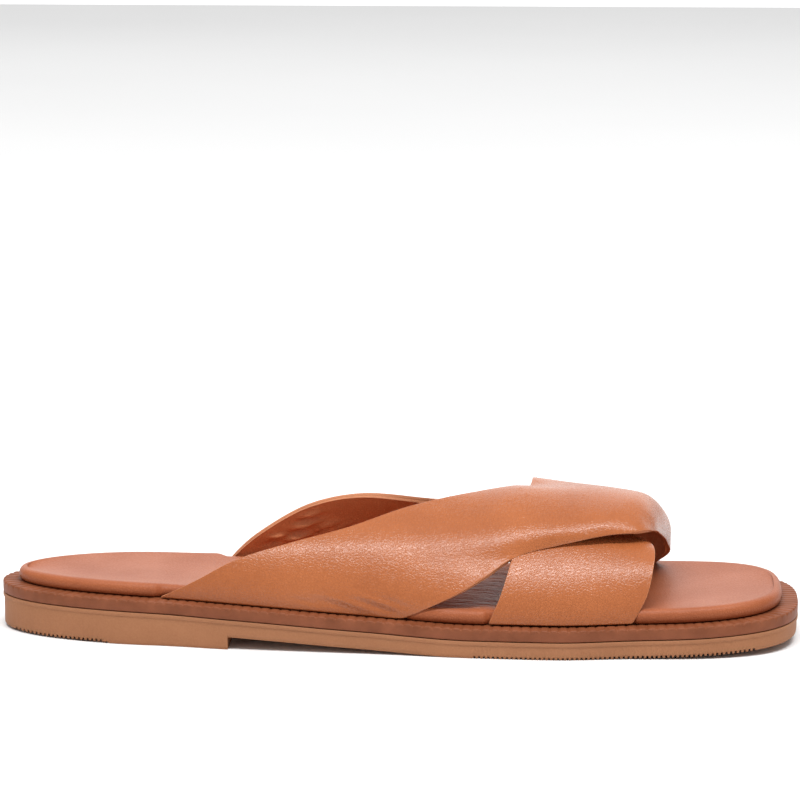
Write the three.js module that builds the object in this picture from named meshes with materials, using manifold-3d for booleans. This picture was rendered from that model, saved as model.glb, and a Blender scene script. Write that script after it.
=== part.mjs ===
// Crossover mule sandal for the left foot, in millimetres.
// +X runs from heel to toe, +Y is the outer (lateral) side, +Z is up, and the sole stands on z = 0.
// Nodes: outsole (rubber unit with its heel), welt (rim strip), footbed (padded insole),
// upper (two crossing leather bands, joined where they cross).
import * as THREE from "three";
import { mergeVertices } from "three/addons/utils/BufferGeometryUtils.js";
import Module from "manifold-3d";

const wasm = await Module();
wasm.setup();

// Driving sizes
const soleLength = 263;
const ballWidth = 92.8; // widest place of the welt
const heelRound = 60; // length of the rounded heel end
const toeRound = 60; // length of the rounded toe end
const toeSquareness = 2.8; // 2 is an ellipse, more is fuller
const heelBlockHeight = 4.2; // from the floor up to the shank
const heelBreast = 77.8; // where the heel block ends
const rubberThickness = 5.6;
const toeSpring = 2.7;
const heelRoll = 0.3; // how far the very back of the heel lifts
const treadHeelEnd = 37; // the back of the heel is toothed up to here
const heelRollEnd = 18.5; // and its very back is rolled up over this length
const treadStep = 0.5; // the toothed zone sits this much higher than the smooth one
const soleUndercut = 0.5; // the rubber's foot stands in from the welt
const lipHeight = 1.3; // lip along the rubber's top edge
const lipProud = 0.3;
const weltThickness = 3.8;
const weltTuck = 9; // how far the welt reaches under the footbed
const weltShow = 5.4; // width of welt that shows round the footbed
const footbedHeel = 4.4; // height of the footbed's edge over the welt
const footbedToe = 5;
const edgeRoll = 2.2; // radius of the footbed's rolled edge
const edgeChamfer = { inset: 1.1, height: 0.7 }; // below that roll, next to the welt
const footbedDish = 1; // how far its middle lies lower than its edge
const strapWall = 2.2; // outer leather and lining together
const strapInset = 5; // from the welt's edge to the strap's outer face
const slotReach = 2; // the footbed is cleared this far outside a band
const slotEnds = 0.75; // and this far along it from a band's edges
const archHeight = 37.5; // highest place of the upper over the welt
const edgeRollReach = 13; // width of the part of a band's front edge that rolls down
const leastCurl = 0.01; // degrees of roll that stand for a flat edge
const gap = 0.3; // between pieces that meet

// Outline of the sole: half width and middle line, as shares of half the ball width.
const outlineTable = [
  { along: 0, half: 0.69, middle: 0.022 },
  { along: 0.1, half: 0.69, middle: 0.032 },
  { along: 0.2, half: 0.69, middle: 0.022 },
  { along: 0.3, half: 0.765, middle: 0.002 },
  { along: 0.4, half: 0.838, middle: 0.02 },
  { along: 0.5, half: 0.912, middle: 0.045 },
  { along: 0.6, half: 0.976, middle: 0.041 },
  { along: 0.7, half: 1, middle: 0.034 },
  { along: 0.8, half: 0.957, middle: 0.05 },
  { along: 0.9, half: 0.953, middle: 0.026 },
  { along: 1, half: 0.948, middle: -0.032 },
];

// Underside of the rubber without its heel block: lift as a share of heelBlockHeight, then of toeSpring.
const undersideTable = [
  { along: 0, heel: 1.33, toe: 0 },
  { along: 0.14, heel: 1.26, toe: 0 },
  { along: 0.285, heel: 1, toe: 0 },
  { along: 0.45, heel: 0.42, toe: 0 },
  { along: 0.6, heel: 0, toe: 0 },
  { along: 0.7, heel: 0, toe: 0 },
  { along: 0.85, heel: 0, toe: 0.28 },
  { along: 1, heel: 0, toe: 1 },
];

// Height of the arch that both bands lie on, as a share of archHeight.
const archTable = [
  { along: 0.153, height: 0.58 },
  { along: 0.2, height: 0.64 },
  { along: 0.308, height: 0.787 },
  { along: 0.449, height: 0.88 },
  { along: 0.54, height: 0.915 },
  { along: 0.59, height: 0.935 },
  { along: 0.661, height: 1 },
  { along: 0.726, height: 0.99 },
  { along: 0.78, height: 0.99 },
  { along: 0.804, height: 0.995 },
  { along: 0.823, height: 0.977 },
  { along: 0.842, height: 0.961 },
];

// The bands, row by row from the inner side of the foot (0 degrees) over the arch to the outer side (180).
// rear and front are shares of the length, rearTurn and frontTurn the place on the arch in degrees,
// and the lifts are millimetres off the arch at the rear edge, in the middle and at the front edge.
// curl is how many degrees the front edge rolls down, and front and frontLift are those of its rim.
const overBand = [
  { rear: 0.207, rearTurn: 0, rearLift: 0, midLift: 0, front: 0.51, frontTurn: 0, frontLift: 0, curl: 0 },
  { rear: 0.257, rearTurn: 15, rearLift: 0, midLift: 0,
    front: 0.571, frontTurn: 14, frontLift: 0, curl: 0 },
  { rear: 0.305, rearTurn: 29, rearLift: 0, midLift: 0,
    front: 0.612, frontTurn: 25, frontLift: -1, curl: 0 },
  { rear: 0.372, rearTurn: 41, rearLift: 0, midLift: 0,
    front: 0.648, frontTurn: 36, frontLift: -2.8, curl: 4 },
  { rear: 0.449, rearTurn: 54, rearLift: 0, midLift: 0,
    front: 0.7, frontTurn: 43.5, frontLift: -2.8, curl: 10 },
  { rear: 0.52, rearTurn: 71, rearLift: 0.7, midLift: 0,
    front: 0.756, frontTurn: 48, frontLift: -1.5, curl: 22 },
  { rear: 0.588, rearTurn: 84, rearLift: 1.4, midLift: 0,
    front: 0.803, frontTurn: 52, frontLift: -2.5, curl: 42 },
  { rear: 0.641, rearTurn: 91, rearLift: 0.7, midLift: 0,
    front: 0.8215, frontTurn: 65, frontLift: -8.9, curl: 82 },
  { rear: 0.662, rearTurn: 101, rearLift: -0.5, midLift: 0,
    front: 0.8275, frontTurn: 86, frontLift: -14.5, curl: 108 },
  { rear: 0.667, rearTurn: 114, rearLift: 3.4, midLift: -0.4,
    front: 0.8325, frontTurn: 112, frontLift: -16.2, curl: 128 },
  { rear: 0.668, rearTurn: 130, rearLift: 3.9, midLift: 0,
    front: 0.838, frontTurn: 140, frontLift: -14, curl: 130 },
  { rear: 0.655, rearTurn: 152, rearLift: 0, midLift: 0.3,
    front: 0.8405, frontTurn: 161, frontLift: -9, curl: 76 },
  { rear: 0.631, rearTurn: 180, rearLift: 0, midLift: 0,
    front: 0.81, frontTurn: 180, frontLift: 0, curl: 0 },
];
const underBand = [
  { rear: 0.617, rearTurn: 0, rearLift: 0, midLift: 0, front: 0.793, frontTurn: 0, frontLift: 0, curl: 0 },
  { rear: 0.632, rearTurn: 15, rearLift: -1, midLift: -1,
    front: 0.811, frontTurn: 14, frontLift: -1, curl: 0 },
  { rear: 0.642, rearTurn: 30, rearLift: -2.5, midLift: -2.6,
    front: 0.819, frontTurn: 30, frontLift: -2.4, curl: 0 },
  { rear: 0.65, rearTurn: 46, rearLift: -3.8, midLift: -4,
    front: 0.82, frontTurn: 46, frontLift: -6.4, curl: 0 },
  { rear: 0.648, rearTurn: 62, rearLift: -4.9, midLift: -5.6,
    front: 0.808, frontTurn: 62, frontLift: -12, curl: 0 },
  { rear: 0.631, rearTurn: 76, rearLift: -4.7, midLift: -4,
    front: 0.782, frontTurn: 76, frontLift: -11.5, curl: 0 },
  { rear: 0.601, rearTurn: 90, rearLift: -3.9, midLift: -3,
    front: 0.745, frontTurn: 90, frontLift: -8, curl: 0 },
  { rear: 0.563, rearTurn: 103, rearLift: -3.3, midLift: -2.9,
    front: 0.707, frontTurn: 103, frontLift: -5, curl: 0 },
  { rear: 0.524, rearTurn: 111, rearLift: -1.6, midLift: -3,
    front: 0.673, frontTurn: 115, frontLift: -4, curl: 0 },
  { rear: 0.448, rearTurn: 119, rearLift: 0.9, midLift: -2.4,
    front: 0.631, frontTurn: 128, frontLift: -3, curl: 0 },
  { rear: 0.381, rearTurn: 131, rearLift: 0.4, midLift: -1.2,
    front: 0.597, frontTurn: 142, frontLift: -1.5, curl: 0 },
  { rear: 0.314, rearTurn: 154, rearLift: -1.8, midLift: -0.3,
    front: 0.563, frontTurn: 160, frontLift: 0, curl: 0 },
  { rear: 0.27, rearTurn: 180, rearLift: 0, midLift: 0,
    front: 0.544, frontTurn: 180, frontLift: 0, curl: 0 },
];

// Shares of a band's width where its lengthwise lines run
const acrossBand = [0, 0.12, 0.25, 0.38, 0.5, 0.62, 0.74, 0.83, 0.9, 0.95, 0.98, 1];

// Counts of faces
const soleStations = 46;
const bandStations = 30;
const footbedFaces = 8;
const rollFaces = 3;

// Smooth value of one column of a table at a place along it, without overshoot.
function read(table, key, column, place) {
  const last = table.length - 1;
  if (place <= table[0][key]) return table[0][column];
  if (place >= table[last][key]) return table[last][column];
  const i = table.findIndex((row) => row[key] > place) - 1;
  const slope = (n) => (table[n + 1][column] - table[n][column]) / (table[n + 1][key] - table[n][key]);
  const tangent = (n) => {
    if (n === 0) return slope(0);
    if (n === last) return slope(last - 1);
    const before = slope(n - 1);
    const after = slope(n);
    return before * after <= 0 ? 0 : (2 * before * after) / (before + after);
  };
  const span = table[i + 1][key] - table[i][key];
  const t = (place - table[i][key]) / span;
  const a = table[i][column];
  const b = table[i + 1][column];
  return (
    a * (1 + 2 * t) * (1 - t) ** 2 +
    tangent(i) * span * t * (1 - t) ** 2 +
    b * t * t * (3 - 2 * t) +
    tangent(i + 1) * span * t * t * (t - 1)
  );
}

// Smooth value of one column of a band's rows at a share of its run, through every row.
function alongRows(rows, column, share) {
  const place = share * (rows.length - 1);
  const i = Math.min(Math.floor(place), rows.length - 2);
  const t = place - i;
  const at = (n) => rows[Math.min(Math.max(n, 0), rows.length - 1)][column];
  const p = [at(i - 1), at(i), at(i + 1), at(i + 2)];
  return (
    0.5 *
    (2 * p[1] +
      (p[2] - p[0]) * t +
      (2 * p[0] - 5 * p[1] + 4 * p[2] - p[3]) * t * t +
      (3 * p[1] - p[0] - 3 * p[2] + p[3]) * t ** 3)
  );
}

// The sole's shape from above and from the side
const roundEnd = (distance, length, power) => {
  const left = Math.min(Math.max(1 - distance / length, 0), 1);
  return (1 - left ** power) ** (1 / power);
};
const halfWidth = (x) =>
  (ballWidth / 2) *
  read(outlineTable, "along", "half", x / soleLength) *
  roundEnd(x, heelRound, 2) *
  roundEnd(soleLength - x, toeRound, toeSquareness);
const middleLine = (x) => (ballWidth / 2) * read(outlineTable, "along", "middle", x / soleLength);
const shankHeight = (x) =>
  heelBlockHeight * read(undersideTable, "along", "heel", x / soleLength) +
  toeSpring * read(undersideTable, "along", "toe", x / soleLength);
const rubberTop = (x) => shankHeight(x) + rubberThickness;
const weltTop = (x) => rubberTop(x) + gap + weltThickness;
const footbedEdge = (x) => footbedHeel + (footbedToe - footbedHeel) * (x / soleLength);

// A closed mesh from positions and triangles, with equal corners joined and empty triangles dropped.
function closedMesh(points, faces) {
  const geometry = new THREE.BufferGeometry()
    .setAttribute("position", new THREE.Float32BufferAttribute(points.flat(), 3))
    .setIndex(faces.flat());
  const joined = mergeVertices(geometry, 1e-4);
  const index = [...joined.index.array];
  const kept = [];
  for (let i = 0; i < index.length; i += 3) {
    const [a, b, c] = index.slice(i, i + 3);
    if (a !== b && b !== c && a !== c) kept.push(a, b, c);
  }
  return new wasm.Manifold(
    new wasm.Mesh({
      numProp: 3,
      vertProperties: joined.attributes.position.array,
      triVerts: new Uint32Array(kept),
    }),
  );
}

function geometryOf(solid) {
  const mesh = solid.getMesh();
  const geometry = new THREE.BufferGeometry()
    .setAttribute("position", new THREE.BufferAttribute(mesh.vertProperties, 3))
    .setIndex(new THREE.BufferAttribute(mesh.triVerts, 1));
  geometry.computeVertexNormals();
  return geometry;
}

// Places along the sole, closer together at its round ends. A step has the same place twice.
function stations(steps = []) {
  const places = [];
  for (let i = 0; i <= soleStations; i++) {
    const x = (soleLength * (1 - Math.cos((Math.PI * i) / soleStations))) / 2;
    if (steps.every((step) => Math.abs(step - x) > 1)) places.push({ x, front: true });
  }
  for (const x of steps) places.push({ x, front: false }, { x, front: true });
  return places.sort((a, b) => a.x - b.x || a.front - b.front);
}

// The outline at an inset, as pairs of an inner-side and an outer-side corner for each place.
function outlinePairs(places, inset) {
  const step = 0.05;
  const side = (x, sign) => new THREE.Vector2(x, middleLine(x) + sign * halfWidth(x));
  const shifted = (x, sign) => {
    const here = side(x, sign);
    if (x <= 0) return new THREE.Vector2(inset, here.y);
    if (x >= soleLength) return new THREE.Vector2(soleLength - inset, here.y);
    const before = side(Math.max(x - step, 0), sign);
    const after = side(Math.min(x + step, soleLength), sign);
    const along = after.sub(before).normalize();
    return here.add(new THREE.Vector2(along.y, -along.x).multiplyScalar(sign * inset));
  };
  return places.map(({ x }) => [shifted(x, -1), shifted(x, 1)]);
}

// A solid from rings that follow the outline. Each ring has an inset and a height, and the list
// goes from the middle of the underside out, up the side and in again. An open list is capped
// with strips across the sole; a closed one makes a hollow rim.
function ringSolid(places, rings, { closed = false, across = 1, sag = () => 0 } = {}) {
  const points = [];
  const faces = [];
  const count = places.length;
  const loops = rings.map(({ inset, height }) => {
    const pairs = outlinePairs(places, inset);
    const corner = (i, sign) => {
      const p = pairs[i][sign];
      points.push([p.x, p.y, height(places[i].x, places[i])]);
      return points.length - 1;
    };
    const near = places.map((_, i) => corner(i, 0));
    const far = places.map((_, i) => corner(i, 1));
    return { near, far, round: [...near, ...far.slice(1, -1).reverse()] };
  });
  const band = (a, b) => {
    for (let i = 0; i < a.length; i++) {
      const j = (i + 1) % a.length;
      faces.push([a[i], a[j], b[j]], [a[i], b[j], b[i]]);
    }
  };
  for (let r = 0; r + 1 < loops.length; r++) band(loops[r].round, loops[r + 1].round);
  if (closed) {
    band(loops[loops.length - 1].round, loops[0].round);
    return closedMesh(points, faces);
  }
  const cap = ({ near, far }, faceUp, parts, lower) => {
    const rows = near.map((n, i) => {
      const row = [n];
      for (let k = 1; k < parts; k++) {
        const t = k / parts;
        const [a, b] = [points[n], points[far[i]]];
        const depth = lower(a[0], t);
        points.push([a[0] + (b[0] - a[0]) * t, a[1] + (b[1] - a[1]) * t, a[2] + (b[2] - a[2]) * t - depth]);
        row.push(points.length - 1);
      }
      return [...row, far[i]];
    });
    rows[0] = rows[0].map(() => near[0]);
    rows[count - 1] = rows[count - 1].map(() => near[count - 1]);
    for (let i = 0; i + 1 < count; i++) {
      for (let k = 0; k < parts; k++) {
        const [a, b, c, d] = [rows[i][k], rows[i + 1][k], rows[i + 1][k + 1], rows[i][k + 1]];
        faces.push(...(faceUp ? [[a, b, c], [a, c, d]] : [[a, c, b], [a, d, c]]));
      }
    }
  };
  cap(loops[0], false, 1, () => 0);
  cap(loops[loops.length - 1], true, across, sag);
  return closedMesh(points, faces);
}

// Rubber unit: flat heel block, breast, lifted shank, forefoot and toe spring, with a lip on top.
function makeOutsole() {
  const places = stations([treadHeelEnd, heelBreast]);
  const heelRear = (x) => heelRoll * Math.max(1 - x / heelRollEnd, 0) ** 2;
  const floor = (x, place) => {
    const inHeel = x < heelBreast || (x === heelBreast && !place.front);
    const toothed = x < treadHeelEnd || (x === treadHeelEnd && !place.front);
    if (inHeel) return toothed ? treadStep + heelRear(x) : 0;
    return shankHeight(x);
  };
  const lipFoot = (x) => rubberTop(x) - lipHeight;
  return ringSolid(places, [
    { inset: soleUndercut, height: floor },
    { inset: lipProud, height: lipFoot },
    { inset: 0, height: (x) => lipFoot(x) + lipProud },
    { inset: 0, height: rubberTop },
  ]);
}

// Welt: a rim strip on the rubber, tucked under the footbed.
function makeWelt() {
  const foot = (x) => rubberTop(x) + gap;
  const inner = weltShow + weltTuck;
  return ringSolid(
    stations(),
    [
      { inset: inner, height: foot },
      { inset: 0, height: foot },
      { inset: 0, height: weltTop },
      { inset: inner, height: weltTop },
    ],
    { closed: true },
  );
}

// Footbed: a padded board with a rolled edge, whose core fills the welt's middle.
function makeFootbed() {
  const core = weltShow + weltTuck + gap;
  const edgeFoot = (x) => weltTop(x) + gap;
  const edgeTop = (x) => weltTop(x) + footbedEdge(x);
  const roll = [];
  for (let i = 0; i <= rollFaces; i++) {
    const turn = ((Math.PI / 2) * i) / rollFaces;
    roll.push({
      inset: weltShow + edgeRoll * (1 - Math.cos(turn)),
      height: (x) => edgeTop(x) - edgeRoll * (1 - Math.sin(turn)),
    });
  }
  return ringSolid(
    stations(),
    [
      { inset: core, height: (x) => rubberTop(x) + gap },
      { inset: core, height: edgeFoot },
      { inset: weltShow + edgeChamfer.inset, height: edgeFoot },
      { inset: weltShow, height: (x) => edgeFoot(x) + edgeChamfer.height },
      ...roll,
    ],
    { across: footbedFaces, sag: (x, t) => footbedDish * Math.sin(Math.PI * t) },
  );
}

// A point of the arch at a place along the sole, a turn over the foot in radians and a lift off it.
function archPoint(x, turn, lift) {
  const reach = halfWidth(x) - strapInset;
  const height = archHeight * read(archTable, "along", "height", x / soleLength);
  return new THREE.Vector3(
    x,
    middleLine(x) - (reach + lift) * Math.cos(turn),
    weltTop(x) + gap + (height + lift) * Math.sin(turn),
  );
}

// The outer face of a band: rows of points from one foot over the arch to the other, which may go
// on down by a depth.
function bandFace(rows, depth) {
  const row = (share) => {
    const at = (column) => alongRows(rows, column, share);
    const points = [];
    const curl = THREE.MathUtils.degToRad(Math.max(at("curl"), leastCurl));
    const rollRadius = edgeRollReach / curl;
    const width = soleLength * (at("front") - at("rear")) + edgeRollReach - rollRadius * Math.sin(curl);
    const frontLift = at("frontLift") + rollRadius * (1 - Math.cos(curl));
    for (const t of acrossBand) {
      const rolled = Math.max(1 - (width * (1 - t)) / edgeRollReach, 0);
      const ahead = rollRadius * Math.sin(rolled * curl) - rolled * edgeRollReach;
      const x = soleLength * at("rear") + width * t + ahead;
      const turn = THREE.MathUtils.degToRad(at("rearTurn") * (1 - t) + at("frontTurn") * t);
      const lift =
        at("rearLift") * (1 - t) * (1 - 2 * t) +
        at("midLift") * 4 * t * (1 - t) +
        frontLift * t * (2 * t - 1) -
        rollRadius * (1 - Math.cos(rolled * curl));
      points.push(archPoint(x, turn, lift));
    }
    return points;
  };
  const lowered = (points) => points.map((p) => new THREE.Vector3(p.x, p.y, p.z - depth));
  const face = [];
  for (let i = 0; i <= bandStations; i++) face.push(row(i / bandStations));
  return depth ? [lowered(face[0]), ...face, lowered(face[bandStations])] : face;
}

// A band with its wall: the outer face, an inner face at the wall's thickness, and the cut edges.
function makeBand(rows, { outer: outset = 0, inner: wall = strapWall, ends = 0, depth = 0 } = {}) {
  const face = bandFace(rows, depth);
  const last = face.length - 1;
  const edge = acrossBand.length - 1;
  const across = (i, k) =>
    new THREE.Vector3().subVectors(face[i][Math.min(k + 1, edge)], face[i][Math.max(k - 1, 0)]).normalize();
  const run = (i, j, k) => new THREE.Vector3().subVectors(face[j][k], face[i][k]).normalize();
  const normal = (i, j, k) => new THREE.Vector3().crossVectors(across(i, k), run(i, j, k)).normalize();
  const points = [];
  const grid = (inset) =>
    face.map((line, i) =>
      line.map((p, k) => {
        const before = normal(Math.max(i - 1, 0), Math.max(i, 1), k);
        const after = normal(Math.min(i, last - 1), Math.min(i + 1, last), k);
        const out = before.clone().add(after).divideScalar(1 + before.dot(after));
        if (i === 0 || i === last) out.setZ(0).normalize();
        const q = p.clone().addScaledVector(out, -inset);
        if (k === 0) q.addScaledVector(across(i, k), -ends);
        if (k === edge) q.addScaledVector(across(i, k), ends);
        points.push([q.x, q.y, q.z]);
        return points.length - 1;
      }),
    );
  const outer = grid(-outset);
  const inner = grid(wall);
  const faces = [];
  const quad = (a, b, c, d) => faces.push([a, b, c], [a, c, d]);
  for (let i = 0; i < last; i++) {
    for (let k = 0; k < edge; k++) {
      quad(outer[i][k], outer[i][k + 1], outer[i + 1][k + 1], outer[i + 1][k]);
      quad(inner[i][k], inner[i + 1][k], inner[i + 1][k + 1], inner[i][k + 1]);
    }
    quad(outer[i][0], outer[i + 1][0], inner[i + 1][0], inner[i][0]);
    quad(outer[i][edge], inner[i][edge], inner[i + 1][edge], outer[i + 1][edge]);
  }
  for (let k = 0; k < edge; k++) {
    quad(outer[0][k], inner[0][k], inner[0][k + 1], outer[0][k + 1]);
    quad(outer[last][k], outer[last][k + 1], inner[last][k + 1], inner[last][k]);
  }
  return closedMesh(points, faces);
}

// A slot in the footbed for each band: the band with room inside, at its ends and outside it.
const slot = { outer: slotReach, inner: strapWall + gap, ends: slotEnds, depth: gap };
const upper = makeBand(underBand).add(makeBand(overBand));
const footbed = makeFootbed().subtract(makeBand(underBand, slot)).subtract(makeBand(overBand, slot));

const leather = new THREE.MeshStandardMaterial({ color: 0xc9794f, roughness: 0.5, metalness: 0 });
const footbedLeather = new THREE.MeshStandardMaterial({ color: 0xb97a62, roughness: 0.45, metalness: 0 });
const weltBrown = new THREE.MeshStandardMaterial({ color: 0x8a4f35, roughness: 0.6, metalness: 0 });
const rubber = new THREE.MeshStandardMaterial({ color: 0xbe8054, roughness: 0.8, metalness: 0 });

const sandal = new THREE.Group();
for (const [name, solid, material] of [
  ["outsole", makeOutsole(), rubber],
  ["welt", makeWelt(), weltBrown],
  ["footbed", footbed, footbedLeather],
  ["upper", upper, leather],
]) {
  const piece = new THREE.Mesh(geometryOf(solid), material);
  piece.name = name;
  sandal.add(piece);
}
// The frame's origin is under the middle of the whole part.
const centre = new THREE.Box3().setFromObject(sandal).getCenter(new THREE.Vector3());
for (const piece of sandal.children) piece.position.set(-centre.x, -centre.y, 0);

export default sandal;
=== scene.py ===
import math

import bpy
import numpy as np
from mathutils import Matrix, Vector


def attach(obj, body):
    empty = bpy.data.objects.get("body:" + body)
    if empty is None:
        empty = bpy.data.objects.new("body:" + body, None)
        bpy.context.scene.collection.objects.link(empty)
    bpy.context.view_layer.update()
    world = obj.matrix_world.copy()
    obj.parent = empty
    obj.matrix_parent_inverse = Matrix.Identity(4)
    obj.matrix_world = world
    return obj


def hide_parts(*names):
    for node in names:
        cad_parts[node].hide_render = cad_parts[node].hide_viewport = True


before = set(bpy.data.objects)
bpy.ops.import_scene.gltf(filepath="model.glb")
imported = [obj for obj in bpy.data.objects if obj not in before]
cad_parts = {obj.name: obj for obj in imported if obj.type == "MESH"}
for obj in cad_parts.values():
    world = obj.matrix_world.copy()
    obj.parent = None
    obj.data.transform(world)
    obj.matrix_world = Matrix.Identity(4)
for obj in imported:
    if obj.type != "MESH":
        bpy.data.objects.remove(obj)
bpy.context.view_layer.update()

# Camera: a long lens on the sandal's inner side, a little above it, with the toe at the right.
# It is tipped up, so that the sandal lies in the lower half of the picture.
mm = 0.001
view_turn, view_down = math.radians(3), math.radians(12.7)
aim = Vector((0.5, -1.58, 10)) * mm
lift_of_frame = math.radians(2.68)
distance = 1400
level = math.cos(view_down)
look = Vector((-math.sin(view_turn) * level, math.cos(view_turn) * level, -math.sin(view_down)))
bpy.ops.object.camera_add(
    location=aim - look * distance * mm,
    rotation=(math.radians(90) - view_down + lift_of_frame, 0, view_turn),
)
camera = bpy.context.object
camera.data.lens = 190.2
camera.data.sensor_width = 36
bpy.context.scene.camera = camera

# Studio: a white floor in white light from all round, with a broad softbox and a narrow one above
# and one behind that only shows in reflections. The world is white to the camera and dim to gloss.
scene = bpy.context.scene
scene.view_settings.view_transform = "Standard"
studio = bpy.data.worlds.new("studio")
scene.world = studio
studio.use_nodes = True
surround = studio.node_tree.nodes["Background"]
surround.inputs["Color"].default_value = (1, 1, 1, 1)
rays = studio.node_tree.nodes.new("ShaderNodeLightPath")
seen, mirrored = (studio.node_tree.nodes.new("ShaderNodeMath") for _ in range(2))
seen.operation = mirrored.operation = "MULTIPLY_ADD"
studio.node_tree.links.new(rays.outputs["Is Camera Ray"], seen.inputs[0])
seen.inputs[1].default_value = 0.6
seen.inputs[2].default_value = 0.55
studio.node_tree.links.new(rays.outputs["Is Glossy Ray"], mirrored.inputs[0])
mirrored.inputs[1].default_value = -0.3
studio.node_tree.links.new(seen.outputs[0], mirrored.inputs[2])
studio.node_tree.links.new(mirrored.outputs[0], surround.inputs["Strength"])


def softbox(name, place, target, width, depth, watts):
    bpy.ops.object.light_add(type="AREA", location=place)
    box = bpy.context.object
    box.name = name
    box.data.shape = "RECTANGLE"
    box.data.size, box.data.size_y = width, depth
    box.data.energy = watts
    box.rotation_euler = (Vector(target) - Vector(place)).to_track_quat("-Z", "Y").to_euler()
    box.visible_camera = False
    return box


softbox("broad_box", (0, 0.6, 2.4), (0, 0.6, 0), 3.4, 3.4, 52).visible_glossy = False
softbox("narrow_box", (0.1, -0.47, 1.16), (0, 0, 0), 1.3, 0.15, 15)
softbox("back_box", (0, 2, 0.85), (0, 0, 0.05), 3.6, 1.6, 25).visible_diffuse = False

bpy.ops.mesh.primitive_plane_add(size=5, location=(0, 0, 0))
floor = bpy.context.object
floor.name = "floor"


def finish(name):
    """A new material, with its node tree and its shader."""
    material = bpy.data.materials.new(name)
    material.use_nodes = True
    return material, material.node_tree, material.node_tree.nodes["Principled BSDF"]


def node(tree, kind, inputs=None, **settings):
    """A node with its settings, whose inputs are values or sockets of other nodes."""
    made = tree.nodes.new(kind)
    for key, value in settings.items():
        setattr(made, key, value)
    for key, value in (inputs or {}).items():
        if isinstance(value, bpy.types.NodeSocket):
            tree.links.new(value, made.inputs[key])
        else:
            made.inputs[key].default_value = value
    return made


def colour_steps(ramp, steps):
    """Sets a ramp's colours from (place, colour) steps."""
    elements = ramp.color_ramp.elements
    while len(elements) < len(steps):
        elements.new(0.5)
    for element, (place, colour) in zip(elements, steps):
        element.position = place
        element.color = (*colour, 1)
    return ramp.outputs["Color"]


paper, tree, shader = finish("white_paper")
where = node(tree, "ShaderNodeTexCoord").outputs["Object"]
cloudy = node(tree, "ShaderNodeTexNoise", {"Vector": where, "Scale": 2.0, "Detail": 3.0}).outputs["Fac"]
ramp = node(tree, "ShaderNodeValToRGB", {"Fac": cloudy})
white_steps = [(0.3, (0.82, 0.82, 0.82)), (0.7, (0.84, 0.84, 0.84))]
tree.links.new(colour_steps(ramp, white_steps), shader.inputs["Base Color"])
shader.inputs["Roughness"].default_value = 0.9
shader.inputs["Specular IOR Level"].default_value = 0.1
floor.data.materials.append(paper)

# Rubber unit: one moulding in caramel rubber with a heel block, a lifted shank and a thin lip on top.
# The back of the heel and the forefoot have fine cross teeth that show along the bottom edge.
sole_length, ball_width = 263, 92.8
heel_round, toe_round, toe_squareness = 60, 60, 2.8
heel_height, toe_spring, rubber_thickness, gap = 4.2, 2.7, 5.6, 0.3
frame_middle = np.array((131.5, 1.58, 0))
outline_along = (0, 0.1, 0.2, 0.3, 0.4, 0.5, 0.6, 0.7, 0.8, 0.9, 1)
outline_half = (0.69, 0.69, 0.69, 0.765, 0.838, 0.912, 0.976, 1, 0.957, 0.953, 0.948)
outline_middle = (0.022, 0.032, 0.022, 0.002, 0.02, 0.045, 0.041, 0.034, 0.05, 0.026, -0.032)
under_along = (0, 0.14, 0.285, 0.45, 0.6, 0.7, 0.85, 1)
under_heel = (1.33, 1.26, 1, 0.42, 0, 0, 0, 0)
under_toe = (0, 0, 0, 0, 0, 0, 0.28, 1)


def smooth(places, values, at):
    """Smooth values through a table, without overshoot."""
    places, values = np.array(places, float), np.array(values, float)
    slope = np.diff(values) / np.diff(places)
    before, after = slope[:-1], slope[1:]
    same_way = before * after > 0
    inner = np.where(same_way, 2 * before * after / np.where(same_way, before + after, 1), 0)
    tangent = np.concatenate((slope[:1], inner, slope[-1:]))
    at = np.clip(at, places[0], places[-1])
    i = np.clip(np.searchsorted(places, at, "right") - 1, 0, len(places) - 2)
    span = places[i + 1] - places[i]
    t = (at - places[i]) / span
    return (
        values[i] * (1 + 2 * t) * (1 - t) ** 2
        + tangent[i] * span * t * (1 - t) ** 2
        + values[i + 1] * t * t * (3 - 2 * t)
        + tangent[i + 1] * span * t * t * (t - 1)
    )


def round_end(distance, reach, power):
    """The share of the width at a distance from an end that is rounded over its reach."""
    return (1 - np.clip(1 - distance / reach, 0, 1) ** power) ** (1 / power)


def half_width(x):
    """Half the sole's width at a place along it, in millimetres."""
    half = ball_width / 2 * smooth(outline_along, outline_half, x / sole_length)
    return half * round_end(x, heel_round, 2) * round_end(sole_length - x, toe_round, toe_squareness)


def middle_line(x):
    return ball_width / 2 * smooth(outline_along, outline_middle, x / sole_length)


def shank(x):
    """Height of the rubber's underside, apart from its heel block."""
    share = x / sole_length
    lifted = heel_height * smooth(under_along, under_heel, share)
    return lifted + toe_spring * smooth(under_along, under_toe, share)


def rubber_top(x):
    return shank(x) + rubber_thickness


def edge_point(x, side, inset):
    """A point of the sole's outline at a place along it, moved inwards by the inset."""
    step = 0.02
    a, b = np.clip(x - step, 0, sole_length), np.clip(x + step, 0, sole_length)
    run = np.stack((b - a, middle_line(b) - middle_line(a) + side * (half_width(b) - half_width(a))), -1)
    run /= np.linalg.norm(run, axis=-1, keepdims=True)
    run = np.where((x <= 0)[..., None], (0, side), np.where((x >= sole_length)[..., None], (0, -side), run))
    inward = side * np.stack((run[..., 1], -run[..., 0]), -1)
    outline = np.stack((x, middle_line(x) + side * half_width(x)), -1)
    return outline + inward * np.asarray(inset)[..., None]


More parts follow.
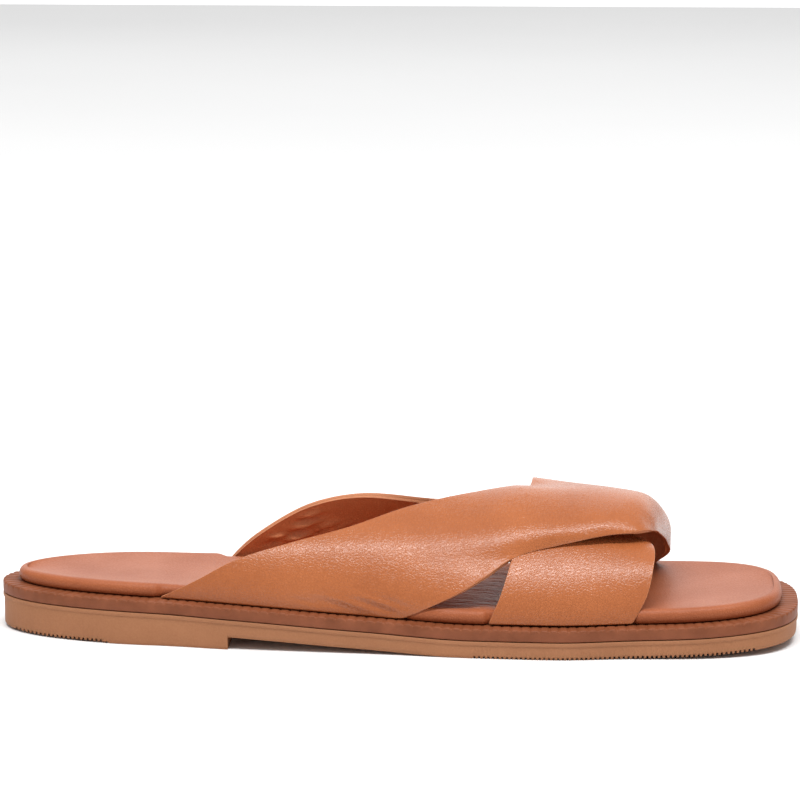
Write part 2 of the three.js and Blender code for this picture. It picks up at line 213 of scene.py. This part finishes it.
def lay_grid(name, points, uv=None):
    """A grid primitive with its points set in millimetres of the shoe."""
    rows, columns = points.shape[:2]
    bpy.ops.object.select_all(action="DESELECT")
    bpy.ops.mesh.primitive_grid_add(x_subdivisions=columns - 1, y_subdivisions=rows - 1, size=1)
    piece = bpy.context.object
    piece.name = piece.data.name = name
    piece.data.vertices.foreach_set("co", ((points - frame_middle) * mm).astype(np.float32).ravel())
    if uv is not None:
        corner = np.zeros(len(piece.data.loops), int)
        piece.data.loops.foreach_get("vertex_index", corner)
        piece.data.uv_layers[0].data.foreach_set("uv", uv.reshape(-1, 2)[corner].astype(np.float32).ravel())
    piece.data.update()
    return piece


def close_up(piece, cap=True, angle=40):
    """Merges what meets, fills the open ends and turns the faces out."""
    bpy.ops.object.mode_set(mode="EDIT")
    bpy.ops.mesh.select_all(action="SELECT")
    bpy.ops.mesh.remove_doubles(threshold=0.00001)
    bpy.ops.mesh.select_all(action="DESELECT")
    if cap:
        bpy.ops.mesh.select_non_manifold()
        bpy.ops.mesh.edge_face_add()
    bpy.ops.mesh.select_all(action="SELECT")
    bpy.ops.mesh.normals_make_consistent(inside=False)
    bpy.ops.object.mode_set(mode="OBJECT")
    bpy.ops.object.shade_smooth_by_angle(angle=math.radians(angle))


tooth_pitch, tooth_depth, tooth_flat, gap_start, gap_end = 1.5, 0.65, 0.72, 0.82, 1.4
tread_heel_end = 36.8
toothed = ((4.5, tread_heel_end), (157, 247.5))
heel_breast = 77.8
stations = [sole_length * (1 - math.cos(math.pi * i / 200)) / 2 for i in range(201)]
stations = [x for x in stations if not any(a <= x <= b for a, b in toothed) and abs(x - heel_breast) > 0.5]
rows = [(x, 0.0) for x in stations]
for first, last in toothed:
    for start in np.arange(first, last, tooth_pitch):
        rows += [(start, 0.0), (start + tooth_flat, 0.0)]
        rows += [(start + gap_start, tooth_depth), (start + gap_end, tooth_depth)]
rows += [(heel_breast, 0.0), (heel_breast + 0.01, 0.0)]
rows.sort()
x = np.array([row[0] for row in rows])
notch = np.array([row[1] for row in rows])
tread_step, heel_roll, heel_roll_end, lip_height = 0.5, 0.3, 18.5, 1.3
rolled_up = tread_step + heel_roll * np.maximum(1 - x / heel_roll_end, 0) ** 2
bottom = np.where(x <= heel_breast, np.where(x < tread_heel_end, rolled_up, 0), shank(x))
lip = rubber_top(x) - lip_height
# The wall's corners, from the top in and down to the underside: inset and height.
wall = [
    (4, rubber_top(x)), (0.15, rubber_top(x)), (0, rubber_top(x) - 0.15),
    (0, lip + 0.35), (0.1, lip + 0.1),
    (0.35, lip), (0.4, bottom + 1.3), (0.5, bottom + notch + 0.25), (0.75, bottom + notch),
]


def wall_points(side):
    return [
        np.column_stack((edge_point(x, side, np.full_like(x, inset)), height)) for inset, height in wall
    ]


near, far = wall_points(-1), wall_points(1)
across = [near[-1] * (1 - t) + far[-1] * t for t in (0.08, 0.3, 0.5, 0.7, 0.92)]
outsole = lay_grid("rubber_unit", np.stack(near + across + far[::-1], 1))
close_up(outsole)

rubber, tree, shader = finish("caramel_rubber")
where = node(tree, "ShaderNodeTexCoord").outputs["Object"]
cloudy = node(tree, "ShaderNodeTexNoise", {"Vector": where, "Scale": 60.0, "Detail": 4.0}).outputs["Fac"]
specks = node(tree, "ShaderNodeTexNoise", {"Vector": where, "Scale": 1800.0, "Detail": 2.0}).outputs["Fac"]
speckled = node(tree, "ShaderNodeMath", {0: cloudy, 1: specks}, operation="ADD").outputs["Value"]
speckled = node(tree, "ShaderNodeMath", {0: speckled, 1: 0.5}, operation="MULTIPLY").outputs["Value"]
ramp = node(tree, "ShaderNodeValToRGB", {"Fac": speckled})
caramel_steps = [(0.35, (0.3, 0.122, 0.052)), (0.65, (0.35, 0.148, 0.066))]
tree.links.new(colour_steps(ramp, caramel_steps), shader.inputs["Base Color"])
bump = node(tree, "ShaderNodeBump", {"Height": specks, "Strength": 0.25, "Distance": 0.0001})
tree.links.new(bump.outputs["Normal"], shader.inputs["Normal"])
shader.inputs["Roughness"].default_value = 0.68
shader.inputs["Specular IOR Level"].default_value = 0.35
outsole.data.materials.append(rubber)
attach(outsole, "root")
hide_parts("outsole")

# Welt: a brown strip round the sole, cemented on the rubber and tucked under the footbed.
# A wheel has pressed grooves across it, whose ends show as small cuts down its side.
welt_thickness, welt_pitch, cut_width, cut_samples = 3.8, 3.15, 0.45, 10


def rim(count):
    """Points round the outline at equal distances, with the way inwards at each."""
    x = sole_length * (1 - np.cos(np.linspace(0, math.pi, 3000))) / 2
    one = np.stack((x, middle_line(x) - half_width(x)), -1)
    other = np.stack((x, middle_line(x) + half_width(x)), -1)[::-1]
    loop = np.concatenate((one[:-1], other))
    run = np.concatenate(([0], np.cumsum(np.linalg.norm(np.diff(loop, axis=0), axis=1))))
    at = run[-1] * np.arange(count + 1) / count
    points = np.stack((np.interp(at, run, loop[:, 0]), np.interp(at, run, loop[:, 1])), -1)
    points[-1] = points[0]
    tangent = np.roll(points[:-1], -1, 0) - np.roll(points[:-1], 1, 0)
    tangent /= np.linalg.norm(tangent, axis=1, keepdims=True)
    inward = np.stack((-tangent[:, 1], tangent[:, 0]), -1)
    return points, np.concatenate((inward, inward[:1])), run[-1]


def welt_top(x):
    return rubber_top(x) + gap + welt_thickness


grooves = round(rim(100)[2] / welt_pitch)
points, inward, _ = rim(grooves * cut_samples)
place = (np.arange(len(points)) % cut_samples) / cut_samples
cut = np.exp(-(((place - 0.5) * welt_pitch / cut_width) ** 2))
foot = rubber_top(points[:, 0]) + gap
# The section's corners: inset and height, then how far a groove pulls each in and presses it down.
section = [
    (14.2, 0.05, 0, 0), (0.35, 0, 0, 0), (0.12, 0.12, 0, 0), (0.05, 0.4, 0, 0), (0.02, 1.5, 0, 0),
    (0, 2.6, 0.02, 0), (0, 3, 0.1, 0), (0, 3.3, 0.24, 0.04), (0.05, 3.6, 0.36, 0.2),
    (0.25, 3.8, 0.36, 0.36), (0.7, 3.86, 0.25, 0.42),
    (2.2, 3.86, 0, 0.4), (4.6, 3.82, 0, 0.36), (6.2, 3.8, 0, 0.2), (14.2, 3.8, 0, 0),
]
welt_rows = []
for inset, height, pull, press in section + section[:1]:
    flat = points + inward * (inset + pull * cut)[:, None]
    welt_rows.append(np.column_stack((flat, foot + height - press * cut)))
welt = lay_grid("welt_strip", np.stack(welt_rows, 1))
close_up(welt, cap=False, angle=60)

brown, tree, shader = finish("welt_brown")
where = node(tree, "ShaderNodeTexCoord").outputs["Object"]
cloudy = node(tree, "ShaderNodeTexNoise", {"Vector": where, "Scale": 160.0, "Detail": 5.0}).outputs["Fac"]
ramp = node(tree, "ShaderNodeValToRGB", {"Fac": cloudy})
brown_steps = [(0.3, (0.165, 0.046, 0.016)), (0.7, (0.225, 0.067, 0.027))]
tree.links.new(colour_steps(ramp, brown_steps), shader.inputs["Base Color"])
fibre = node(tree, "ShaderNodeTexNoise", {"Vector": where, "Scale": 1500.0, "Detail": 3.0}).outputs["Fac"]
bump = node(tree, "ShaderNodeBump", {"Height": fibre, "Strength": 0.3, "Distance": 0.0001})
tree.links.new(bump.outputs["Normal"], shader.inputs["Normal"])
shader.inputs["Roughness"].default_value = 0.55
shader.inputs["Specular IOR Level"].default_value = 0.25
welt.data.materials.append(brown)
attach(welt, "root")
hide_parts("welt")

# Footbed: foam under soft leather, wrapped round a board, so its edge is a full roll above the welt.
# The straps go down between it and the welt, and press its edge in there.
strap_feet = {-1: ((54.4, 134.1), (162.3, 208.6)), 1: ((70.5, 143.1), (166, 212))}
press_margin, press_ease, press_in, press_down = 2.5, 3.5, 2.5, 0.5
edge_at_heel, edge_rise, section_height, dish = 4.4, 0.6, 4.42, 1.0


def pressed(x, side):
    """1 where a strap goes down beside the footbed, 0 elsewhere."""
    total = np.zeros_like(x)
    for start, end in strap_feet[side]:
        rise = np.clip((x - start + press_margin) / press_ease, 0, 1)
        rise = rise * np.clip((end + press_margin - x) / press_ease, 0, 1)
        total = np.maximum(total, rise * rise * (3 - 2 * rise))
    return total


x = np.unique(np.concatenate((
    sole_length * (1 - np.cos(np.linspace(0, math.pi, 141))) / 2, np.arange(5, 258, 1.1),
)))
edge_height = edge_at_heel + edge_rise * x / sole_length


def roll_points(side):
    """Rows of points from the board's underside, round the roll and onto the top."""
    press = pressed(x, side)
    rows = []
    for inset, height in (
        (13, 0.15), (7.2, 0.15), (6.2, 0.3), (5.65, 0.75), (5.42, 1.4), (5.36, 2.1), (5.5, 2.9),
        (5.85, 3.6), (6.4, 4.12), (7.1, 4.36), (8, 4.42),
    ):
        lift = height * edge_height / section_height - press_down * press * height / section_height
        flat = edge_point(x, side, inset + press_in * press * (1 if inset < 10 else 0))
        rows.append(np.column_stack((flat, welt_top(x) + lift)))
    return rows


near, far = roll_points(-1), roll_points(1)
across = []
for t in np.linspace(0, 1, 38)[1:-1]:
    line = near[-1] * (1 - t) + far[-1] * t
    line[:, 2] -= dish * math.sin(math.pi * t) ** 0.8
    across.append(line)
footbed = lay_grid("footbed_pad", np.stack(near + across + far[::-1], 1))
close_up(footbed)

# The leather's grain: pebbles with pores, and creases that run lengthwise.
grain_group = bpy.data.node_groups.new("leather_grain", "ShaderNodeTree")
for socket, kind, value in (
    ("Vector", "NodeSocketVector", None), ("Pebbles", "NodeSocketFloat", 900),
    ("Creases", "NodeSocketFloat", 0.3),
):
    made = grain_group.interface.new_socket(socket, in_out="INPUT", socket_type=kind)
    if value is not None:
        made.default_value = value
for socket in ("Height", "Mottle"):
    grain_group.interface.new_socket(socket, in_out="OUTPUT", socket_type="NodeSocketFloat")
given = grain_group.nodes.new("NodeGroupInput").outputs


def noise(tree, where, scale, detail, output="Fac"):
    """A noise texture's output."""
    inputs = {"Vector": where, "Scale": scale, "Detail": detail}
    return node(tree, "ShaderNodeTexNoise", inputs).outputs[output]


def math_value(tree, operation, *values):
    """The result of a math node."""
    return node(tree, "ShaderNodeMath", dict(enumerate(values)), operation=operation).outputs["Value"]


wobble = noise(grain_group, given["Vector"], 300.0, 2.0, "Color")
wobble = node(grain_group, "ShaderNodeVectorMath", {0: wobble, "Scale": 0.0016}, operation="SCALE")
shifted = node(
    grain_group, "ShaderNodeVectorMath", {0: given["Vector"], 1: wobble.outputs["Vector"]}, operation="ADD"
).outputs["Vector"]
cells = node(
    grain_group, "ShaderNodeTexVoronoi", {"Vector": shifted, "Scale": given["Pebbles"]},
    feature="DISTANCE_TO_EDGE",
).outputs["Distance"]
pebble = node(
    grain_group, "ShaderNodeMapRange", {"Value": cells, "From Min": 0.0, "From Max": 0.25},
    interpolation_type="SMOOTHSTEP",
).outputs["Result"]
pores = noise(grain_group, given["Vector"], 2600.0, 2.0)
long_way = node(grain_group, "ShaderNodeMapping", {"Vector": shifted, "Scale": (90, 700, 700)})
lines = noise(grain_group, long_way.outputs["Vector"], 1.0, 3.0)
lines = math_value(grain_group, "MULTIPLY", lines, given["Creases"])
height = math_value(grain_group, "MULTIPLY_ADD", pores, 0.35, pebble)
height = math_value(grain_group, "ADD", height, lines)
broad = noise(grain_group, given["Vector"], 45.0, 4.0)
mottle = math_value(grain_group, "MULTIPLY_ADD", pebble, 0.25, broad)
out = grain_group.nodes.new("NodeGroupOutput")
grain_group.links.new(height, out.inputs["Height"])
grain_group.links.new(mottle, out.inputs["Mottle"])


def leather(name, dark, light, roughness, pebbles=1000, creases=0.3, depth=0.0001, specular=0.4):
    """Smooth tan leather: mottled colour, pebbled grain, and a roughness that follows them."""
    material, tree, shader = finish(name)
    where = node(tree, "ShaderNodeTexCoord").outputs["Object"]
    grain = node(tree, "ShaderNodeGroup", node_tree=grain_group)
    tree.links.new(where, grain.inputs["Vector"])
    grain.inputs["Pebbles"].default_value = pebbles
    grain.inputs["Creases"].default_value = creases
    ramp = node(tree, "ShaderNodeValToRGB", {"Fac": grain.outputs["Mottle"]})
    tree.links.new(colour_steps(ramp, [(0.35, dark), (0.95, light)]), shader.inputs["Base Color"])
    rough = node(tree, "ShaderNodeMapRange", {
        "Value": grain.outputs["Mottle"], "From Min": 0.35, "From Max": 0.95,
        "To Min": roughness + 0.06, "To Max": roughness - 0.04,
    })
    tree.links.new(rough.outputs["Result"], shader.inputs["Roughness"])
    bump = node(
        tree, "ShaderNodeBump", {"Height": grain.outputs["Height"], "Strength": 0.6, "Distance": depth}
    )
    tree.links.new(bump.outputs["Normal"], shader.inputs["Normal"])
    shader.inputs["Specular IOR Level"].default_value = specular
    return material


footbed_tan = leather(
    "footbed_tan", (0.28, 0.075, 0.027), (0.36, 0.105, 0.04), 0.45, creases=0.25, depth=0.00006, specular=0.25
)
# Between the straps' feet its cover lies in small wrinkles, and its gloss is turned down there as painted
# shade for the straps above it.
tree = footbed_tan.node_tree
shader = tree.nodes["Principled BSDF"]
where = node(tree, "ShaderNodeTexCoord").outputs["Object"]
place = node(tree, "ShaderNodeSeparateXYZ", {"Vector": where}).outputs
from_feet = math_value(tree, "SUBTRACT", place["X"], 0.018)
from_feet = math_value(tree, "ABSOLUTE", from_feet)
covered = node(tree, "ShaderNodeMapRange", {"Value": from_feet, "From Min": 0.05, "From Max": 0.03})
inside = node(tree, "ShaderNodeMapRange", {"Value": place["Y"], "From Min": -0.038, "From Max": -0.0355})
covered = math_value(tree, "MULTIPLY", covered.outputs["Result"], inside.outputs["Result"])
stretched = node(
    tree, "ShaderNodeMapping", {"Vector": where, "Scale": (130, 330, 330), "Rotation": (0, 0, 0.5)}
).outputs["Vector"]
wrinkles = math_value(tree, "MULTIPLY", noise(tree, stretched, 1.0, 3.0), covered)
grained = shader.inputs["Normal"].links[0].from_socket
bump = node(
    tree, "ShaderNodeBump", {"Height": wrinkles, "Strength": 0.8, "Distance": 0.002, "Normal": grained}
)
tree.links.new(bump.outputs["Normal"], shader.inputs["Normal"])
# Painted shade: lower gloss in this patch stands in for the dark the straps throw and mirror onto it.
painted_shade_gloss = node(tree, "ShaderNodeMapRange", {"Value": covered, "To Min": 0.25, "To Max": 0.08})
tree.links.new(painted_shade_gloss.outputs["Result"], shader.inputs["Specular IOR Level"])
footbed.data.materials.append(footbed_tan)
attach(footbed, "root")
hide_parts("footbed")

# Under strap: a band of leather and lining from the inner ball across to the outer heel side.
# It is cut raw, so its edge shows two layers with a groove between them.
arch_along = (0.153, 0.2, 0.308, 0.449, 0.54, 0.59, 0.661, 0.726, 0.78, 0.804, 0.823, 0.842)
arch_share = (0.58, 0.64, 0.787, 0.88, 0.915, 0.935, 1, 0.99, 0.99, 0.995, 0.977, 0.961)
arch_height, strap_inset, strap_wall, roll_reach, least_curl = 37.5, 5, 1.7, 13, 0.01
# Each row: rear edge along the sole, its turn over the foot and its lift, the lift of the middle,
# then the front edge along the sole, its turn, its lift, and how far it rolls down.
under_rows = np.array((
    (0.617, 0, 0, 0, 0.793, 0, 0, 0), (0.632, 15, -1, -1, 0.811, 14, -1, 0),
    (0.642, 30, -2.5, -2.6, 0.819, 30, -2.4, 0), (0.65, 46, -3.8, -4, 0.82, 46, -6.4, 0),
    (0.648, 62, -4.9, -5.6, 0.808, 62, -12, 0), (0.631, 76, -4.7, -4, 0.782, 76, -11.5, 0),
    (0.601, 90, -3.9, -3, 0.745, 90, -8, 0), (0.563, 103, -3.3, -2.9, 0.707, 103, -5, 0),
    (0.524, 111, -1.6, -3, 0.673, 115, -4, 0), (0.448, 119, 0.9, -2.4, 0.631, 128, -3, 0),
    (0.381, 131, 0.4, -1.2, 0.597, 142, -1.5, 0), (0.314, 154, -1.8, -0.3, 0.563, 160, 0, 0),
    (0.27, 180, 0, 0, 0.544, 180, 0, 0),
))


def along_rows(rows, share):
    """The rows' values at shares of the strap's run, on a smooth line through every row."""
    last = len(rows) - 1
    place = share * last
    i = np.minimum(place.astype(int), last - 1)
    t = (place - i)[:, None]
    a, b, c, d = (rows[np.clip(i + k, 0, last)] for k in (-1, 0, 1, 2))
    square, cube = 2 * a - 5 * b + 4 * c - d, 3 * b - a - 3 * c + d
    return 0.5 * (2 * b + (c - a) * t + square * t**2 + cube * t**3)


def strap_face(rows, run, across):
    """Points of a strap's outer face for shares of its run and of its width. Its rim stays where the
    rows put it, however far the front edge rolls down."""
    values = along_rows(rows, run)[:, None, :]
    rear, rear_turn, rear_lift, mid_lift, front, front_turn, front_lift, curl = np.moveaxis(values, -1, 0)
    t = across[None, :]
    turn = np.radians(rear_turn * (1 - t) + front_turn * t)
    curl = np.radians(np.maximum(curl, least_curl))
    roll_radius = roll_reach / curl
    width = sole_length * (front - rear) + roll_reach - roll_radius * np.sin(curl)
    front_lift = front_lift + roll_radius * (1 - np.cos(curl))
    rolled = np.clip(1 - width * (1 - t) / roll_reach, 0, 1)
    x = sole_length * rear + width * t - rolled * roll_reach + roll_radius * np.sin(rolled * curl)
    lift = (
        rear_lift * (1 - t) * (1 - 2 * t) + mid_lift * 4 * t * (1 - t) + front_lift * t * (2 * t - 1)
        - roll_radius * (1 - np.cos(rolled * curl))
    )
    height = arch_height * smooth(arch_along, arch_share, x / sole_length)
    y = middle_line(x) - (half_width(x) - strap_inset + lift) * np.cos(turn)
    return np.stack((x, y, welt_top(x) + gap + (height + lift) * np.sin(turn)), -1)


def strap(name, rows, folds):
    """A strap as one closed tube: outer face, two-layer front edge, lining, two-layer rear edge."""
    across = np.array(
        (0, 0.015, 0.12, 0.25, 0.38, 0.5, 0.62, 0.7, 0.76, 0.82, 0.87, 0.91, 0.95, 0.98, 1)
    )
    run = np.linspace(0, 1, 97)
    face = strap_face(rows, run, across)
    sideways = np.empty_like(face)
    sideways[:, 1:-1] = face[:, 2:] - face[:, :-2]
    sideways[:, 0], sideways[:, -1] = face[:, 1] - face[:, 0], face[:, -1] - face[:, -2]
    onward = np.gradient(face, axis=0)
    out = np.cross(sideways, onward)
    out[[0, -1], :, 2] = 0
    out /= np.linalg.norm(out, axis=-1, keepdims=True)
    sideways /= np.linalg.norm(sideways, axis=-1, keepdims=True)
    # The cut edge's corners: depth below the outer face, and how far each is pulled in.
    cut_edge = ((0.2, 0.0), (0.95, 0.02), (1.1, 0.4), (1.22, 0.06), (2.0, 0.08))
    columns = [face[:, k] for k in range(len(across))]
    shares = list(across)
    for depth, pull in cut_edge:
        columns.append(face[:, -1] - out[:, -1] * depth - sideways[:, -1] * pull)
        shares.append(1)
    for k in reversed(range(len(across))):
        columns.append(face[:, k] - out[:, k] * strap_wall)
        shares.append(across[k])
    for depth, pull in cut_edge[::-1]:
        columns.append(face[:, 0] - out[:, 0] * depth + sideways[:, 0] * pull)
        shares.append(0)
    columns.append(columns[0])
    shares.append(0)
    points = np.stack(columns, 1)
    uv = np.stack(np.broadcast_arrays(np.array(shares)[None, :], run[:, None]), -1)
    piece = lay_grid(name, points, uv)
    face_columns, edge_columns = len(across) - 1, len(cut_edge) + 1
    outer, edge, lining = 0, 1, 2
    kind_of_column = [outer] * face_columns + [edge] * edge_columns
    kind_of_column += [lining] * face_columns + [edge] * edge_columns
    piece.data.polygons.foreach_set("material_index", kind_of_column * (len(run) - 1))
    close_up(piece)
    finer = piece.modifiers.new("finer", "SUBSURF")
    finer.levels = finer.render_levels = 2
    finer.uv_smooth = "NONE"
    bpy.ops.object.modifier_apply(modifier="finer")
    bpy.ops.object.shade_smooth_by_angle(angle=math.radians(50))
    press_folds(piece, folds)
    return piece


def press_folds(piece, folds):
    """Presses soft troughs and ridges into a strap, each from one point of the shoe to another."""
    co = np.zeros(len(piece.data.vertices) * 3, np.float32)
    piece.data.vertices.foreach_get("co", co)
    points = co.reshape(-1, 3) / mm + frame_middle
    x = points[:, 0]
    up = points[:, 2] - welt_top(x)
    sideways = (points[:, 1] - middle_line(x)) / half_width(x) ** 2
    out = np.stack((np.zeros_like(x), sideways, up / arch_height**2), -1)
    out /= np.linalg.norm(out, axis=1, keepdims=True)
    for start, end, width, height in folds:
        start, end = np.array(start, float), np.array(end, float)
        run = end - start
        t = np.clip((points - start) @ run / (run @ run), 0, 1)
        away = np.linalg.norm(points - start - t[:, None] * run, axis=1)
        fade = 0.35 + 0.65 * np.sin(math.pi * t)
        points = points + out * (height * fade * np.exp(-((away / width) ** 2)))[:, None]
    piece.data.vertices.foreach_set("co", ((points - frame_middle) * mm).astype(np.float32).ravel())
    piece.data.update()


strap_tan = leather(
    "strap_tan", (0.31, 0.088, 0.027), (0.39, 0.122, 0.042), 0.26, creases=0.9, depth=0.00006, specular=0.4
)
cut_tan = leather("cut_edge_tan", (0.42, 0.15, 0.065), (0.56, 0.22, 0.1), 0.6, pebbles=2200, creases=0.6)
lining_tan = leather(
    "lining_tan", (0.6, 0.205, 0.087), (0.72, 0.275, 0.122), 0.5, creases=0.8, specular=0.3
)
# Creases in the lining: where each starts and ends on the shoe, its width, and its height outwards.
lining_creases = [
    ((90.7, 27.6, 23.2), (100.8, 28.3, 25.6), 0.9, -1.8),
    ((94.7, 25.9, 27.8), (103.1, 25.4, 30.7), 0.9, -1.8),
    ((96.5, 24.8, 30.1), (105.3, 24.1, 33), 0.8, 1.4),
    ((100.9, 27.6, 26.8), (110.5, 26.6, 30.5), 0.9, -1.6),
    ((99.5, 28.7, 24.6), (106.2, 27.9, 27.8), 0.8, 1.4), ((93.4, 26.9, 25.5), (102, 26.9, 28.3), 0.8, 1.6),
    ((98, 23.9, 31.9), (104.2, 22.7, 34.7), 0.9, -1.4), ((104.4, 29.2, 25.2), (112.9, 28, 29.2), 0.9, -1.6),
    ((87, 26.2, 24.5), (92.3, 26.5, 25.8), 0.8, -1.4), ((84.8, 27.5, 21.3), (91.5, 27.4, 23.9), 0.8, 1.4),
]
under_strap = strap("strap_under", under_rows, lining_creases)
for part in (strap_tan, cut_tan, lining_tan):
    under_strap.data.materials.append(part)
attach(under_strap, "root")
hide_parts("upper")

# Over strap: the wider band, from the inner heel side across to the outer ball, glued where it
# lies on the other strap. Its front edge rolls down over the toes at the outer side.
over_rows = np.array((
    (0.207, 0, 0, 0, 0.51, 0, 0, 0), (0.257, 15, 0, 0, 0.571, 14, 0, 0), (0.305, 29, 0, 0, 0.612, 25, -1, 0),
    (0.372, 41, 0, 0, 0.648, 36, -2.8, 4), (0.449, 54, 0, 0, 0.7, 43.5, -2.8, 10),
    (0.52, 71, 0.7, 0, 0.756, 48, -1.5, 15), (0.588, 84, 1.4, 0, 0.803, 52, -2.5, 33),
    (0.641, 91, 0.7, 0, 0.8215, 65, -8.9, 76), (0.662, 101, -0.5, 0, 0.8275, 86, -14.5, 108),
    (0.667, 114, 3.4, -0.4, 0.8325, 112, -16.2, 128), (0.668, 130, 3.9, 0, 0.838, 140, -14, 130),
    (0.655, 152, 0, 0.3, 0.8405, 161, -9, 76), (0.631, 180, 0, 0, 0.81, 180, 0, 0),
))
# Creases near its inner foot, as above
foot_creases = [
    ((106, -32.8, 17.2), (117, -33.8, 13.8), 1.1, -0.4), ((112, -33.2, 17.5), (125, -34.4, 13.2), 1, 0.35),
    ((120, -33.8, 16.9), (133, -35.3, 12.6), 1.1, -0.45), ((116, -32.9, 19), (131, -34.9, 15), 1.3, 0.3),
    ((100, -32.4, 16.7), (109, -33.2, 14.6), 0.9, -0.3), ((126, -34, 18), (137, -35.5, 14.6), 1, -0.3),
]
over_strap = strap("strap_over", over_rows, foot_creases)
for part in (strap_tan, cut_tan, lining_tan):
    over_strap.data.materials.append(part)
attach(over_strap, "root")
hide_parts("upper")
